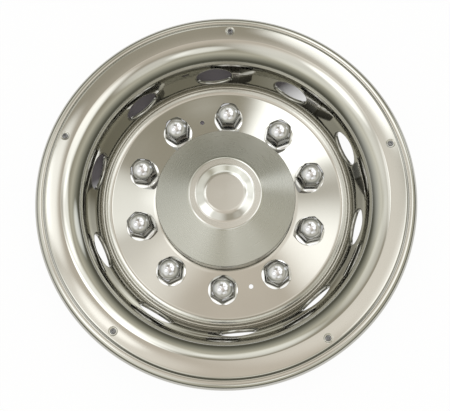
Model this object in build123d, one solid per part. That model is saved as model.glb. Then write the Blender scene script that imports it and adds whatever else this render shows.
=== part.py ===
from build123d import *

import os
from collections import namedtuple
from math import asin, atan2, cos, degrees, hypot, radians, sin, sqrt, tan

# A truck wheel simulator: a spun stainless dish with a hub cap, ten nut covers, and spring clips behind its
# flange that grip the wheel's rim. It lies face up, as it does on a bench.
# Lengths are millimetres and angles are degrees. The origin is on the wheel's axis, in the plane of the
# lowest ring, and +Z points out of the wheel. Bearings run clockwise from +Y, seen from the front.

# Wheel that it fits
BOLT_CIRCLE = 285.75
LUG_COUNT = 10
NUT_ACROSS_FLATS = 33.0

# Dish: thickness, then its section from the face outwards
SHEET = 1.2
RIM_RADIUS = 197.3
RIM_RISE = 4.2
RIM_TILT = 30.0
DROP_TILT = 75.0
VALLEY_WIDTH = 2.8
DISH_DEPTH = 76.4
WALL_TILT = 72.0
ROLL_BEND = 47.0
CROWN_BEND = 135.0
CROWN_TILT = 8.0
SHOULDER_TILT = 40.0
SHOULDER_LENGTH = 5.2
BEAD_FOOT = 1.5
BEAD_RISE = 12.0
BEAD_BEND = 10.5
SKIRT_LENGTH = 4.0

# Oval hand holes in the dish's wall, each with a lip pressed towards the back
HAND_HOLE_COUNT = 10
HAND_HOLE_BEARING = -7.0
HAND_HOLE_WIDTH = 57.0
HAND_HOLE_FOOT = 11.0
HAND_HOLE_TOP = 3.6
HAND_HOLE_END_SHARE = 0.69
LIP_DEPTH = 6.0

# Two small holes in the face, midway between nut covers
KEY_HOLE_RADIUS = 3.5
KEY_HOLE_BEARINGS = (-18.0, 162.0)

# Hub cap
CAP_SHEET = 1.2
CAP_CLEARANCE = 8.3
CAP_WALL = 35.8
CAP_FLANGE = 9.0
CONE_TILT = 27.8
RING_RADIUS = 56.0
BOSS_RADIUS = 45.0
BOSS_TOP_RADIUS = 31.5
BOSS_RISE = 4.0
HUB_CLEARANCE = 0.8

# Nut covers, and how far each hexagon is turned
COVER_WALL = 1.2
COVER_HEIGHT = 38.0
COVER_DOME = 24.1
COVER_TURNS = (0.0, 22.0, 2.0, 15.0, 38.0, 30.0, 28.0, -10.0, -5.0, -31.0)
FOOT_FLARE = 4.2
FOOT_CORNER_TRIM = 1.6
FOOT_EDGE = 1.5
FLARE_HEIGHT = 9.5
NUT_CLEARANCE = 0.3
SOCKET_HEIGHT = 24.0
ROOF_RISE = 8.5
ROOF_INSET = 9.0

# Blind rivets in dimples of the flange, and the spring clips that they hold
CLIP_COUNT = 5
RIVET_INSET = 8.4
RIVET_SHANK_RADIUS = 2.4
RIVET_CLEARANCE = 0.1
RIVET_HEAD_REACH = 2.1
RIVET_HEAD_HEIGHT = 1.4
RIVET_HEAD_BEVEL = 1.0
RIVET_END = 1.6
DIMPLE_SEAT = 0.7
DIMPLE_SLOPE_WIDTH = 1.6
DIMPLE_DEPTH = 1.0
CLIP_SHEET = 1.0
CLIP_WIDTH = 26.0
CLIP_TOE = 7.5
CLIP_HEEL = 8.5
CLIP_LEG = 17.0
CLIP_KICK = 42.0
CLIP_KICK_LENGTH = 8.0

# How far cutting tools run past what they cut
OVERRUN = 10.0

# Heights and radii that follow
face_back = CAP_SHEET
face_front = face_back + SHEET
crown_height = face_front + DISH_DEPTH
bolt_radius = BOLT_CIRCLE / 2
socket_across_flats = NUT_ACROSS_FLATS + 2 * NUT_CLEARANCE
cover_across_flats = socket_across_flats + 2 * COVER_WALL
foot_across_flats = cover_across_flats + 2 * FOOT_FLARE
foot_radius = foot_across_flats / sqrt(3) - FOOT_CORNER_TRIM
cap_radius = bolt_radius - foot_radius - CAP_CLEARANCE
hub_hole_radius = cap_radius + HUB_CLEARANCE
lug_hole_radius = socket_across_flats / sqrt(3)
rivet_hole_radius = RIVET_SHANK_RADIUS + RIVET_CLEARANCE
rivet_head_radius = RIVET_SHANK_RADIUS + RIVET_HEAD_REACH
dimple_floor_radius = rivet_head_radius + DIMPLE_SEAT
lug_bearings = [360 / LUG_COUNT * i for i in range(LUG_COUNT)]
hand_hole_bearings = [HAND_HOLE_BEARING + 360 / HAND_HOLE_COUNT * i for i in range(HAND_HOLE_COUNT)]
clip_bearings = [360 / CLIP_COUNT * i for i in range(CLIP_COUNT)]

Step = namedtuple("Step", "length radius turn")


def run(length):
    """A straight step of a walk."""
    return Step(length, 0.0, 0.0)


def bend(radius, turn):
    """A curved step of a walk, between steps that it is tangent to: a positive turn is to the left."""
    return Step(0.0, radius, turn)


def corner(turn):
    """A sharp turn between two straight steps: a positive turn is to the left."""
    return Step(0.0, 0.0, turn)


def left_of(heading):
    """The unit vector to the left of a heading, in the plane of radius and height."""
    return Vector(-sin(radians(heading)), 0, cos(radians(heading)))


def ahead(heading):
    """The unit vector along a heading, in the plane of radius and height."""
    return Vector(cos(radians(heading)), 0, sin(radians(heading)))


def corner_trim(step, shift):
    """How much a straight step loses beside a corner when the walk is moved to its left by shift."""
    return shift * tan(radians(step.turn) / 2) if step.radius == 0 else 0.0


def walk(point, heading, steps, shift=0.0):
    """Edges of a walk moved to its left by shift, with its last point as if it were not moved."""
    edges = []
    for index, step in enumerate(steps):
        aside = left_of(heading) * shift
        if step.length:
            last_point = point + ahead(heading) * step.length
            before = corner_trim(steps[index - 1], shift) if index > 0 else 0.0
            after = corner_trim(steps[index + 1], shift) if index + 1 < len(steps) else 0.0
            edges.append(Line(point + aside + ahead(heading) * before, last_point + aside - ahead(heading) * after))
            point = last_point
        elif step.radius:
            side = 1 if step.turn > 0 else -1
            centre = point + left_of(heading) * (side * step.radius)
            reach = shift - side * step.radius
            middle = centre + left_of(heading + step.turn / 2) * reach
            last = centre + left_of(heading + step.turn) * reach
            edges.append(ThreePointArc(point + aside, middle, last))
            point = centre - left_of(heading + step.turn) * (side * step.radius)
        heading += step.turn
    return edges, point


def sheet_section(point, heading, steps, thickness):
    """A face of the given thickness to the left of a walk, or to its right if the thickness is negative."""
    near, _ = walk(point, heading, steps)
    far, _ = walk(point, heading, steps, thickness)
    start = Line(near[0] @ 0, far[0] @ 0)
    end = Line(near[-1] @ 1, far[-1] @ 1)
    return make_face(near + [end] + far[::-1] + [start])


def turned(shape, bearing):
    """A copy of what was modelled along +X, turned about the axis to a bearing."""
    return Rot(0, 0, 90 - bearing) * shape


def hexagon(across_flats):
    """A hexagon with a corner on +X."""
    return RegularPolygon(across_flats / 2, 6, major_radius=False)


# Section of the dish, from the hub opening to its crown and on to the skirt's edge
valley_height = SHEET
rim_slope = RIM_RISE / sin(radians(RIM_TILT))
rim_reach = RIM_RISE / tan(radians(RIM_TILT))
drop_slope = (face_front + RIM_RISE - valley_height) / sin(radians(DROP_TILT))
crown_drop = CROWN_BEND * (1 - cos(radians(CROWN_TILT)))
roll_drop = ROLL_BEND * (cos(radians(CROWN_TILT)) - cos(radians(WALL_TILT)))
wall_slope = (crown_height - crown_drop - roll_drop - valley_height) / sin(radians(WALL_TILT))
face_start = Vector(hub_hole_radius, 0, face_front)
steps_to_wall = [
    run(RIM_RADIUS - rim_reach - hub_hole_radius),
    corner(RIM_TILT),
    run(rim_slope),
    corner(-RIM_TILT - DROP_TILT),
    run(drop_slope),
    corner(DROP_TILT),
    run(VALLEY_WIDTH),
    corner(WALL_TILT),
]
steps_to_crown = steps_to_wall + [
    run(wall_slope),
    bend(ROLL_BEND, CROWN_TILT - WALL_TILT),
    bend(CROWN_BEND, -CROWN_TILT),
]
steps_to_edge = steps_to_crown + [
    run(BEAD_FOOT),
    corner(-SHOULDER_TILT),
    run(SHOULDER_LENGTH),
    corner(SHOULDER_TILT + BEAD_RISE),
    run(BEAD_FOOT),
    bend(BEAD_BEND, -BEAD_RISE - 90),
    run(SKIRT_LENGTH),
]
_, wall_point = walk(face_start, 0, steps_to_wall)
front_to_crown, crown_point = walk(face_start, 0, steps_to_crown)
sheet = revolve(sheet_section(face_start, 0, steps_to_edge, -SHEET), Axis.Z)

# Space in front of the dish, used to trim the hand holes' lips
bowl_top = Vector(0, 0, crown_height)
bowl_floor = Vector(0, 0, face_front)
bowl_edges = front_to_crown + [Line(crown_point, bowl_top), Line(bowl_top, bowl_floor), Line(bowl_floor, face_start)]
bowl = revolve(make_face(bowl_edges), Axis.Z)

# Hand holes: an oval lip pressed out behind the wall, square to it, and the opening through it
hole_half_width = HAND_HOLE_WIDTH / 2
hole_half_height = (wall_slope - HAND_HOLE_FOOT - HAND_HOLE_TOP) / 2
hole_end = HAND_HOLE_END_SHARE * hole_half_height
hole_centre = wall_point + ahead(WALL_TILT) * (HAND_HOLE_FOOT + hole_half_height)
hole_plane = Plane(origin=hole_centre, x_dir=(0, 1, 0), z_dir=left_of(WALL_TILT))


def oval_prism(margin, back):
    """A hand hole's oval, grown by a margin, from a depth behind the wall to well in front of it."""
    end_centre = hole_half_width - hole_end
    side_bend = (end_centre**2 + hole_half_height**2 - hole_end**2) / (2 * (hole_half_height - hole_end))
    side_angle = atan2(side_bend - hole_half_height, end_centre)
    join_x = end_centre + (hole_end + margin) * cos(side_angle)
    join_y = (hole_end + margin) * sin(side_angle)
    upper = ThreePointArc((join_x, join_y), (0, hole_half_height + margin), (-join_x, join_y))
    left = ThreePointArc((-join_x, join_y), (-hole_half_width - margin, 0), (-join_x, -join_y))
    lower = ThreePointArc((-join_x, -join_y), (0, -hole_half_height - margin), (join_x, -join_y))
    right = ThreePointArc((join_x, -join_y), (hole_half_width + margin, 0), (join_x, join_y))
    oval = make_face([upper, left, lower, right])
    return hole_plane * Pos(0, 0, -back) * extrude(oval, back + OVERRUN)


lip = oval_prism(SHEET, LIP_DEPTH) - bowl
opening = oval_prism(0, LIP_DEPTH + SHEET)

# Dimples for the rivets: the flange is pressed in, square to its slope, as a flat-floored cup
rivet_circle_radius = crown_point.X - RIVET_INSET
rivet_tilt = degrees(asin(RIVET_INSET / CROWN_BEND))
flange_height = crown_height - CROWN_BEND * (1 - cos(radians(rivet_tilt)))
rivet_plane = Plane(
    origin=(rivet_circle_radius, 0, flange_height), x_dir=ahead(rivet_tilt), z_dir=left_of(rivet_tilt)
)
dimple_rate = DIMPLE_SLOPE_WIDTH / DIMPLE_DEPTH


def dimple_cone(margin, low, high):
    """A cone that follows a dimple's side, between two heights above the flange."""
    low_radius = dimple_floor_radius + margin + dimple_rate * (low + DIMPLE_DEPTH)
    high_radius = dimple_floor_radius + margin + dimple_rate * (high + DIMPLE_DEPTH)
    return rivet_plane * Pos(0, 0, (low + high) / 2) * Cone(low_radius, high_radius, high - low)


dimple_cup = dimple_cone(SHEET / 2 + dimple_rate * SHEET, -DIMPLE_DEPTH - SHEET, -SHEET / 2)
dimple_tool = dimple_cone(0, -DIMPLE_DEPTH, SHEET)
rivet_hole = rivet_plane * Cylinder(rivet_hole_radius, 2 * OVERRUN)

# Round holes in the face
lug_hole = Pos(bolt_radius, 0, face_back) * Cylinder(lug_hole_radius, OVERRUN)
key_hole = Pos(bolt_radius, 0, face_back) * Cylinder(KEY_HOLE_RADIUS, OVERRUN)

dish = sheet
dish += [turned(lip, bearing) for bearing in hand_hole_bearings]
dish += [turned(dimple_cup, bearing) for bearing in clip_bearings]
dish -= [turned(opening, bearing) for bearing in hand_hole_bearings]
dish -= [turned(dimple_tool, bearing) for bearing in clip_bearings]
dish -= [turned(rivet_hole, bearing) for bearing in clip_bearings]
dish -= [turned(lug_hole, bearing) for bearing in lug_bearings]
dish -= [turned(key_hole, bearing) for bearing in KEY_HOLE_BEARINGS]

# Hub cap: a flange behind the face, a short wall, a wide cone, a flat ring and a raised boss
cap_start = Vector(hub_hole_radius + CAP_FLANGE, 0, face_back)
boss_width = BOSS_RADIUS - BOSS_TOP_RADIUS
boss_tilt = degrees(atan2(BOSS_RISE, boss_width))
cap_steps = [
    run(cap_start.X - cap_radius),
    corner(-90),
    run(SHEET + CAP_WALL),
    corner(90 - CONE_TILT),
    run((cap_radius - RING_RADIUS) / cos(radians(CONE_TILT))),
    corner(CONE_TILT),
    run(RING_RADIUS - BOSS_RADIUS),
    corner(-boss_tilt),
    run(hypot(BOSS_RISE, boss_width)),
    corner(boss_tilt),
    run(BOSS_TOP_RADIUS),
]
hub_cap = revolve(sheet_section(cap_start, 180, cap_steps, CAP_SHEET), Axis.Z)

# Nut cover, standing on the face with its axis on Z: a domed hexagon on a flared foot, with a hexagonal
# socket under a sloping roof that is open towards the nut
dome_centre = COVER_HEIGHT - COVER_DOME
dome_blank = Pos(0, 0, dome_centre) * Sphere(COVER_DOME) + extrude(Circle(COVER_DOME), dome_centre)
cover_body = extrude(hexagon(cover_across_flats), COVER_HEIGHT) & dome_blank
foot_hexagon = hexagon(foot_across_flats)
flare_rise = FLARE_HEIGHT - FOOT_EDGE
flare_taper = degrees(atan2(FOOT_FLARE, flare_rise))
flare = extrude(Pos(0, 0, FOOT_EDGE) * foot_hexagon, flare_rise, taper=flare_taper)
foot = (extrude(foot_hexagon, FOOT_EDGE) + flare) & extrude(Circle(foot_radius), FLARE_HEIGHT)
socket_hexagon = hexagon(socket_across_flats)
roof_taper = degrees(atan2(ROOF_INSET, ROOF_RISE))
roof = extrude(Pos(0, 0, SOCKET_HEIGHT) * socket_hexagon, ROOF_RISE, taper=roof_taper)
socket = extrude(socket_hexagon, SOCKET_HEIGHT) + roof
lug_cover = cover_body + foot - socket

# Spring clip: a strip under the flange whose leg turns down and kicks outwards to catch the rim
clip_start = Vector(CLIP_TOE, 0, -DIMPLE_DEPTH - SHEET)
clip_steps = [
    run(CLIP_TOE + CLIP_HEEL),
    corner(90),
    run(CLIP_LEG),
    corner(CLIP_KICK),
    run(CLIP_KICK_LENGTH),
    corner(-2 * CLIP_KICK),
    run(CLIP_KICK_LENGTH),
]
clip_strip = extrude(sheet_section(clip_start, 180, clip_steps, CLIP_SHEET), CLIP_WIDTH / 2, both=True)
rim_clip = rivet_plane * clip_strip - rivet_hole

# Blind rivet: a bevelled head in the dimple, and a shank that ends behind the clip
shank_length = SHEET + CLIP_SHEET + RIVET_END
rivet_head = Pos(0, 0, RIVET_HEAD_HEIGHT / 2) * Cone(
    rivet_head_radius, rivet_head_radius - RIVET_HEAD_BEVEL, RIVET_HEAD_HEIGHT
)
rivet_shank = Pos(0, 0, -shank_length) * extrude(Circle(RIVET_SHANK_RADIUS), shank_length)
clip_rivet = rivet_plane * Pos(0, 0, -DIMPLE_DEPTH) * (rivet_head + rivet_shank)

# Assembly
nodes = {"dish": dish, "hub_cap": hub_cap}
for number, bearing in enumerate(lug_bearings, 1):
    hexagon_turn = COVER_TURNS[(number - 1) % len(COVER_TURNS)]
    place = turned(Pos(bolt_radius, 0, face_front), bearing).position
    nodes[f"lug_cover_{number:02d}"] = Pos(place) * Rot(0, 0, hexagon_turn) * lug_cover
for number, bearing in enumerate(clip_bearings, 1):
    nodes[f"clip_rivet_{number}"] = turned(clip_rivet, bearing)
    nodes[f"rim_clip_{number}"] = turned(rim_clip, bearing)

os.makedirs("parts", exist_ok=True)
for name, shape in nodes.items():
    export_step(shape, f"parts/{name}.step")
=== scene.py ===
"""Truck wheel simulator: a polished dish with hub cap, nut covers, rivets and rim clips, dressed and lit.

Lengths are millimetres until a mesh is made. Bearings are degrees clockwise from +Y, seen from the front.
"""

import logging
import math
from collections.abc import Sequence
from dataclasses import dataclass
from enum import Enum

import bpy
import numpy as np
from mathutils import Matrix, Vector


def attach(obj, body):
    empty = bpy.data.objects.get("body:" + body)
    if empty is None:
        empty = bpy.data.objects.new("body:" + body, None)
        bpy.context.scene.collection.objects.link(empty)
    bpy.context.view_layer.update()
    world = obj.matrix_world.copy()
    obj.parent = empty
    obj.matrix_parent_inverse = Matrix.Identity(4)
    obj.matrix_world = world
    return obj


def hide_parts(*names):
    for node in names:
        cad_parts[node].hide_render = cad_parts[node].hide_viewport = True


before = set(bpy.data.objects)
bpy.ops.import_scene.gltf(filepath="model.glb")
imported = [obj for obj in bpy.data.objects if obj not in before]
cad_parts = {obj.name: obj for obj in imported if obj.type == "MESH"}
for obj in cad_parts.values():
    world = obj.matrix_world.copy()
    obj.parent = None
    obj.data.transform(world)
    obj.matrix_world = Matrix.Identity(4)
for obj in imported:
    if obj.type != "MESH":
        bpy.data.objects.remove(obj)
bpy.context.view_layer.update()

Array = np.ndarray
Colour = tuple[float, float, float]
Range = tuple[float, float]
Pairs = tuple[tuple[float, float], ...]
Socket = bpy.types.NodeSocket
Feed = Socket | float | Sequence[float]

LOG = logging.getLogger("wheel_simulator")
MM = 0.001
UP = np.array([0.0, 0.0, 1.0])
FULL_TURN = 360.0
COLUMN_STEP = 1.0
ALL_BEARINGS = np.arange(0, FULL_TURN, COLUMN_STEP)
HEX_FLATS = np.radians(30 + 60 * np.arange(6))
WELD_CELLS = 1e4
PUNCHED_ROWS = 4
PRESSED_ROWS = 8
NOSE_ROWS = 7
DIMPLE_ROWS = 9
ZONE_SPAN = 0.3
# Height span in metres of the ramp that paints shade into a metal's colour.
SHADE_SPAN = 0.1
SMUDGE_SCALE = 9.0
SMUDGE_DETAIL = 4.0
SMUDGE_RANGE = (0.3, 0.65)
GLOSS_RANGE = (0.12, 0.4)
GRAIN_DETAIL = 3.0
WAVE_DETAIL = 1.0


class StepKind(Enum):
    """Ways in which a sheet's section goes on."""

    RUN = "straight"
    BEND = "arc that is tangent to its neighbours"
    CORNER = "rounded corner between two straights"


@dataclass(frozen=True)
class Step:
    """One step of a sheet's section: a length, or a turn in degrees to the left over a radius."""

    kind: StepKind
    length: float = 0.0
    radius: float = 0.0
    turn: float = 0.0

    def trim(self) -> float:
        """Length that this step's round takes from each straight beside it."""
        half_turn = math.radians(abs(self.turn)) / 2
        return self.radius * math.tan(half_turn) if self.kind is StepKind.CORNER else 0.0


def run(length: float) -> Step:
    """A straight step."""
    return Step(StepKind.RUN, length=length)


def bend(radius: float, turn: float) -> Step:
    """A curved step."""
    return Step(StepKind.BEND, radius=radius, turn=turn)


def corner(turn: float, radius: float) -> Step:
    """A rounded corner."""
    return Step(StepKind.CORNER, radius=radius, turn=turn)


@dataclass(frozen=True)
class Track:
    """Samples along a section: distance walked, radius, height and heading in radians."""

    distance: Array
    radius: Array
    height: Array
    heading: Array

    def at(self, distance: Array) -> tuple[Array, ...]:
        """Radius, height and heading at the given distances, by straight interpolation."""
        samples = (self.radius, self.height, self.heading)
        return tuple(np.interp(distance, self.distance, sample) for sample in samples)

    def distance_at_radius(self, radius: float) -> float:
        """Distance walked when the section first reaches a radius that grows along it."""
        return float(np.interp(radius, self.radius, self.distance))


@dataclass(frozen=True)
class Section:
    """A sheet's front line in the plane of radius and height, walked from a start along a heading."""

    start: tuple[float, float]
    heading: float
    steps: tuple[Step, ...]

    def trace(self, per_turn: float, per_run: float) -> Track:
        """Samples the walk.

        A straight of length L is start + t L ahead. A turn of angle w over radius r is
        centre - r left(heading + t w). Each corner's round is first taken out of the straights beside it.

        Args:
            per_turn: degrees between samples on a turn.
            per_run: millimetres between samples on a straight.

        Returns:
            The samples, from the start to the end.
        """
        place = np.array(self.start, float)
        heading = math.radians(self.heading)
        trims = [0.0] + [step.trim() for step in self.steps] + [0.0]
        walked = 0.0
        blocks: list[Array] = []
        for index, step in enumerate(self.steps):
            if step.kind is StepKind.RUN:
                length = step.length - trims[index] - trims[index + 2]
                share = np.linspace(0, 1, max(2, math.ceil(length / per_run) + 1))
                ahead = np.array([math.cos(heading), math.sin(heading)])
                line = place + np.outer(share * length, ahead)
                turned = np.full(len(share), heading)
            else:
                turn = math.radians(step.turn)
                length = abs(turn) * step.radius
                share = np.linspace(0, 1, max(3, math.ceil(abs(step.turn) / per_turn) + 1))
                turned = heading + share * turn
                reach = math.copysign(step.radius, turn)
                centre = place + reach * np.array([-math.sin(heading), math.cos(heading)])
                line = centre - reach * np.stack([-np.sin(turned), np.cos(turned)], axis=1)
            first = 1 if blocks else 0
            blocks.append(np.column_stack([walked + share * length, line, turned])[first:])
            place, heading, walked = line[-1], turned[-1], walked + length
        return Track(*np.concatenate(blocks).T)


def compass(bearing: Array, radius: Array, height: Array) -> Array:
    """Points at bearings in degrees, radii and heights: (r sin b, r cos b, z)."""
    angle = np.radians(bearing)
    return np.stack(np.broadcast_arrays(radius * np.sin(angle), radius * np.cos(angle), height), axis=-1)


def spun(angle: Array, radius: Array, height: Array) -> Array:
    """Points at angles in radians, radii and heights: (r cos a, r sin a, z)."""
    return np.stack(np.broadcast_arrays(radius * np.cos(angle), radius * np.sin(angle), height), axis=-1)


def blend(share: Array, near: Array, far: Array) -> Array:
    """Weighted mean of two lines: a share of the near one and the rest of the far one."""
    return share * near + (1 - share) * far


def stacked(rows: Sequence[tuple[Array, Array]]) -> tuple[Array, ...]:
    """Two long columns of several short pairs of columns, one after the other."""
    return tuple(np.concatenate(column) for column in zip(*rows))


@dataclass(frozen=True)
class Surface:
    """Points of a skin with the way that each faces, and the quads and triangles between them."""

    points: Array
    facing: Array
    quads: Array
    tris: Array

    @staticmethod
    def grid(points: Array, facing: Array, wraps: bool) -> "Surface":
        """Quads between the rows and columns of a grid.

        Args:
            points: rows by columns by 3 coordinates.
            facing: unit vectors of the same shape.
            wraps: whether the last column joins the first.

        Returns:
            The grid as a surface.
        """
        height, width = points.shape[:2]
        index = np.arange(height * width).reshape(height, width)
        near = index if wraps else index[:, :-1]
        far = np.roll(index, -1, axis=1) if wraps else index[:, 1:]
        quads = np.stack([near[:-1], far[:-1], far[1:], near[1:]], axis=-1).reshape(-1, 4)
        return Surface(points.reshape(-1, 3), facing.reshape(-1, 3), quads, np.empty((0, 3), int))

    @staticmethod
    def fan(ring: Array, facing: Array, tip: Array, tip_facing: Array) -> "Surface":
        """Triangles from a closed ring of points to one tip.

        Args:
            ring: points of the ring.
            facing: unit vectors at the ring.
            tip: point that all triangles share.
            tip_facing: unit vector at the tip.

        Returns:
            The fan as a surface.
        """
        count = len(ring)
        index = np.arange(count)
        tris = np.stack([index, np.roll(index, -1), np.full(count, count)], axis=-1)
        return Surface(np.vstack([ring, tip]), np.vstack([facing, tip_facing]), np.empty((0, 4), int), tris)

    @staticmethod
    def lathe(points: Array, sign: float) -> "Surface":
        """A wrapped grid whose facing is the cross product of its central differences.

        Args:
            points: rows by columns by 3 coordinates; the columns close on themselves.
            sign: 1 or -1, so that the product looks out of the solid.

        Returns:
            The grid as a surface.
        """
        along = np.gradient(points, axis=0)
        around = np.roll(points, -1, axis=1) - np.roll(points, 1, axis=1)
        across = sign * np.cross(around, along)
        return Surface.grid(points, across / np.linalg.norm(across, axis=2, keepdims=True), True)

    @staticmethod
    def joined(parts: list["Surface"]) -> "Surface":
        """One surface of several: shared points are welded, and each face is wound to look as its points do.

        Args:
            parts: the surfaces.

        Returns:
            The welded surface.
        """
        offsets = np.cumsum([0] + [len(part.points) for part in parts[:-1]])
        points = np.concatenate([part.points for part in parts])
        facing = np.concatenate([part.facing for part in parts])
        keys = np.round(points * WELD_CELLS).astype(np.int64)
        _, first, merged = np.unique(keys, axis=0, return_index=True, return_inverse=True)
        merged = merged.reshape(-1)
        points, facing = points[first], facing[first]
        quads = merged[np.concatenate([part.quads + offset for part, offset in zip(parts, offsets)])]
        tris = merged[np.concatenate([part.tris + offset for part, offset in zip(parts, offsets)])]
        quads, tris = (Surface.wound(faces, points, facing) for faces in (quads, tris))
        return Surface(points, facing, quads, tris)

    @staticmethod
    def wound(faces: Array, points: Array, facing: Array) -> Array:
        """Faces turned round where that is needed, so that each looks as its points do.

        A face looks along the cross product of two lines: from its first corner to its third, and from its
        second corner to its last.

        Args:
            faces: places of each face's corners.
            points: the points.
            facing: unit vectors at the points.

        Returns:
            The faces.
        """
        corners = points[faces]
        looks = np.cross(corners[:, 2] - corners[:, 0], corners[:, -1] - corners[:, 1])
        inward = (looks * facing[faces].sum(axis=1)).sum(axis=1) < 0
        return np.where(inward[:, None], faces[:, ::-1], faces)

    def capped(self, count: int, first: tuple[Array, Array], last: tuple[Array, Array]) -> "Surface":
        """The surface closed by a fan on its first ring and one on its last.

        Args:
            count: points of a ring.
            first: tip of the first fan and the way that it faces.
            last: the same of the last fan.

        Returns:
            The closed surface.
        """
        start = Surface.fan(self.points[:count], self.facing[:count], *first)
        end = Surface.fan(self.points[-count:], self.facing[-count:], *last)
        return Surface.joined([self, start, end])

    def moved(self, axes: Array, origin: Array) -> "Surface":
        """The surface carried to a frame whose axes are the rows of a matrix and whose origin is given."""
        return Surface(self.points @ axes + origin, self.facing @ axes, self.quads, self.tris)

    def linked(self, name: str, material: bpy.types.Material) -> bpy.types.Object:
        """Makes a Blender object of the surface, in metres, and links it to the scene.

        Args:
            name: its name.
            material: its finish.

        Returns:
            The object.
        """
        mesh = bpy.data.meshes.new(name)
        mesh.from_pydata((self.points * MM).tolist(), [], self.quads.tolist() + self.tris.tolist())
        mesh.materials.append(material)
        thing = bpy.data.objects.new(name, mesh)
        bpy.context.scene.collection.objects.link(thing)
        return thing

    def piece(self, name: str, node: str, slot: str, material: bpy.types.Material) -> bpy.types.Object:
        """Makes the Blender object that stands for a CAD node.

        Args:
            name: name of the piece.
            node: CAD node that it replaces.
            slot: material slot of the record; not used.
            material: finish.

        Returns:
            The object, linked, riding on the one body.
        """
        piece = self.linked(name, material)
        piece.data.shade_smooth()
        piece.data.normals_split_custom_set_from_vertices(self.facing.tolist())
        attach(piece, "root")
        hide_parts(node)
        LOG.info("%s: %d faces", name, len(piece.data.polygons))
        return piece


@dataclass(frozen=True)
class Nodes:
    """A node tree with short ways to add to it."""

    tree: bpy.types.NodeTree

    def feed(self, node: bpy.types.Node, inputs: dict[int | str, Feed]) -> None:
        """Gives a node's inputs what they read: a socket is linked, and a number or a colour is set.

        Args:
            node: the node.
            inputs: what each input gets, by its name or its place.
        """
        for place, feed in inputs.items():
            if isinstance(feed, Socket):
                self.tree.links.new(feed, node.inputs[place])
            else:
                node.inputs[place].default_value = feed

    def add(self, kind: str, inputs: dict[int | str, Feed], **settings: str) -> bpy.types.Node:
        """Adds a node.

        Args:
            kind: Blender's name of its type.
            inputs: what its inputs get.
            settings: its properties.

        Returns:
            The node.
        """
        node = self.tree.nodes.new(kind)
        for name, setting in settings.items():
            setattr(node, name, setting)
        self.feed(node, inputs)
        return node

    def math(self, operation: str, first: Feed, second: Feed) -> Socket:
        """The result of an operation on two numbers."""
        return self.add("ShaderNodeMath", {0: first, 1: second}, operation=operation).outputs["Value"]

    def vector(self, operation: str, *feeds: Feed) -> Socket:
        """The result of an operation on vectors that gives a vector."""
        node = self.add("ShaderNodeVectorMath", dict(enumerate(feeds)), operation=operation)
        return node.outputs["Vector"]

    def measure(self, operation: str, *feeds: Feed) -> Socket:
        """The result of an operation on vectors that gives a number."""
        node = self.add("ShaderNodeVectorMath", dict(enumerate(feeds)), operation=operation)
        return node.outputs["Value"]

    def parts(self, vector: Socket) -> tuple[Socket, Socket, Socket]:
        """The three parts of a vector."""
        outputs = self.add("ShaderNodeSeparateXYZ", {"Vector": vector}).outputs
        return outputs["X"], outputs["Y"], outputs["Z"]

    def noise(self, place: Socket, scale: float, detail: float) -> Socket:
        """Soft noise: cells for each unit of the place, and octaves of detail."""
        inputs = {"Vector": place, "Scale": scale, "Detail": detail}
        return self.add("ShaderNodeTexNoise", inputs).outputs["Fac"]

    def ranged(self, value: Socket, start: Range, end: Range, **settings: str) -> Socket:
        """A number carried from one range to another, held at both ends.

        Args:
            value: the number.
            start: the range that it comes from.
            end: the range that it goes to.
            settings: properties of the node.

        Returns:
            The result.
        """
        names = ("From Min", "From Max", "To Min", "To Max")
        inputs = {"Value": value, **dict(zip(names, (*start, *end)))}
        return self.add("ShaderNodeMapRange", inputs, **settings).outputs["Result"]

    def ramp(self, place: Socket, stops: Sequence[tuple[float, Colour]]) -> Socket:
        """Colours with straight lines between them.

        Args:
            place: place on the ramp, from 0 to 1.
            stops: places with their colours.

        Returns:
            The colour at the place.
        """
        node = self.add("ShaderNodeValToRGB", {"Fac": place})
        elements = node.color_ramp.elements
        for index, (stop, colour) in enumerate(stops):
            element = elements[index] if index < 2 else elements.new(stop)
            element.position = stop
            element.color = (*colour, 1.0)
        return node.outputs["Color"]

    def levels(self, place: Socket, stops: Pairs, span: float) -> Socket:
        """Greys with straight lines between them, at places in millimetres on a span in metres."""
        return self.ramp(place, [(stop * MM / span, (level, level, level)) for stop, level in stops])

    def bumped(self, height: Socket, rise: float, under: dict[int | str, Feed]) -> Socket:
        """Normals of a rough surface, of a rise in millimetres, on what lies under it."""
        inputs = {"Strength": 1.0, "Distance": rise * MM, "Height": height, **under}
        return self.add("ShaderNodeBump", inputs).outputs["Normal"]


class Grain(Enum):
    """Ways that a metal's fine marks run, with the noise cells along each part of the place they read."""

    TURNED = (900.0, 5.0, 900.0)
    EVEN = (700.0, 700.0, 700.0)


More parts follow.
